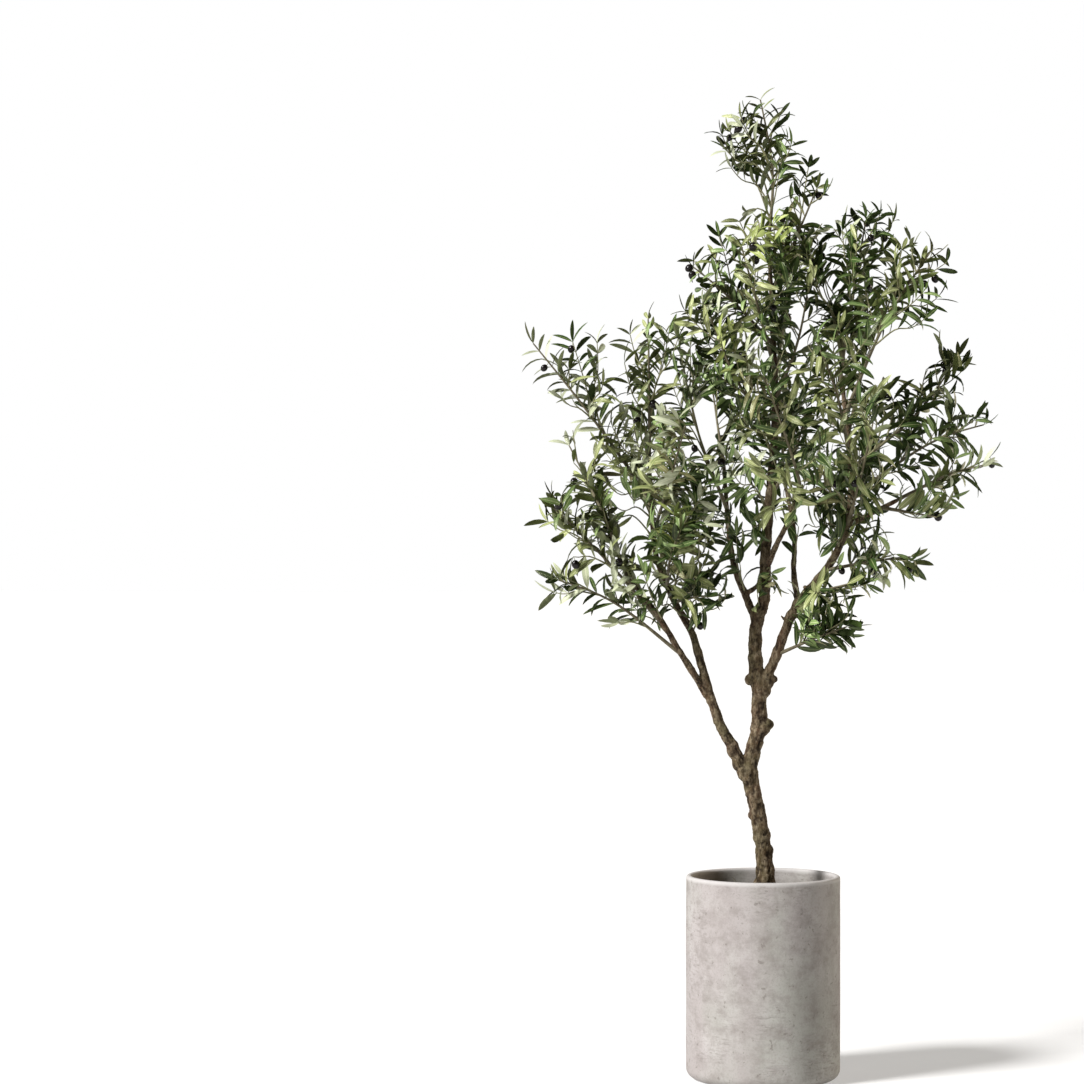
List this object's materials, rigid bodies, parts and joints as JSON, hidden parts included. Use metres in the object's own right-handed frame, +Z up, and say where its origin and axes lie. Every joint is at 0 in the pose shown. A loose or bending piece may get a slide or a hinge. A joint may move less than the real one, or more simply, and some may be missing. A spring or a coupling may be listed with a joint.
{
  "type": "artificial potted olive tree",
  "caption": "Artificial olive tree with a forked, knotted stem and open leafy crown, standing in a tall round concrete planter.",
  "frame": {"origin": "middle of the planter's flat underside", "axes": "+Z up along the tree, +X to the right and -Y towards the viewer"},
  "size_m": [0.9349, 0.7459, 1.953],
  "materials": {
    "concrete": "matt pale grey cast concrete with small pits and cloudy stains",
    "moss": "rough brown dried moss over the filling",
    "bark": "matt grey-brown ridged bark with knots",
    "leaves": "satin printed olive green with paler undersides",
    "olives": "glossy black"
  },
  "bodies": {
    "root": {"pot": "concrete", "filling": "moss", "trunk": "bark", "leader": "bark", "bough_left": "bark", "bough_left_inner": "bark", "bough_left_outer": "bark", "bough_centre_left": "bark", "bough_centre_front": "bark", "bough_right": "bark", "bough_right_inner": "bark", "bough_right_far": "bark", "foliage_top": "leaves", "foliage_top_right": "leaves", "foliage_upper_left": "leaves", "foliage_upper_front": "leaves", "foliage_upper_back": "leaves", "foliage_upper_middle": "leaves", "foliage_upper_right": "leaves", "foliage_right_shoulder": "leaves", "foliage_right_crest": "leaves", "foliage_centre_right": "leaves", "foliage_centre_front": "leaves", "foliage_centre_back": "leaves", "foliage_back_left": "leaves", "foliage_centre_left": "leaves", "foliage_centre_middle": "leaves", "foliage_inner_left": "leaves", "foliage_left_top": "leaves", "foliage_left_reach": "leaves", "foliage_left_front": "leaves", "foliage_left_back": "leaves", "foliage_left_lap": "leaves", "foliage_left_side": "leaves", "foliage_left_arm": "leaves", "foliage_left_bottom": "leaves", "foliage_left_under": "leaves", "foliage_right_up": "leaves", "foliage_right_high": "leaves", "foliage_right_tip": "leaves", "foliage_right_low": "leaves", "foliage_right_under": "leaves", "foliage_right_bottom": "leaves", "foliage_right_back": "leaves", "foliage_right_front": "leaves", "foliage_right_lap": "leaves"}
  },
  "joints": []
}
